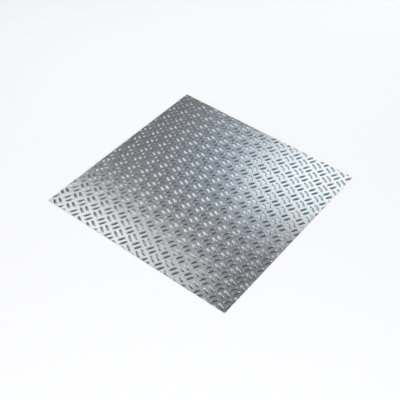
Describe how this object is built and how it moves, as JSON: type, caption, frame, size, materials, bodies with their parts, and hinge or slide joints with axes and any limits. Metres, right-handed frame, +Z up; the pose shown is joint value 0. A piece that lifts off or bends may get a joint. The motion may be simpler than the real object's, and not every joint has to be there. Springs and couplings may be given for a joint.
{
  "type": "embossed aluminum sheet",
  "caption": "Square sheet of embossed aluminium tread stock: paired raised bars at right angles on its top face, a flat underside and plain cut edges.",
  "frame": {"origin": "middle of the underside, on the face that the sheet lies on", "axes": "+Z up through the sheet, towards the side with the raised bars; X and Y along its cut edges"},
  "size_m": [0.5, 0.5, 0.0015],
  "materials": {
    "aluminium": "mill finish, semi-bright, with a fine rolling grain"
  },
  "bodies": {
    "root": {"embossed_sheet": "aluminium"}
  },
  "joints": []
}
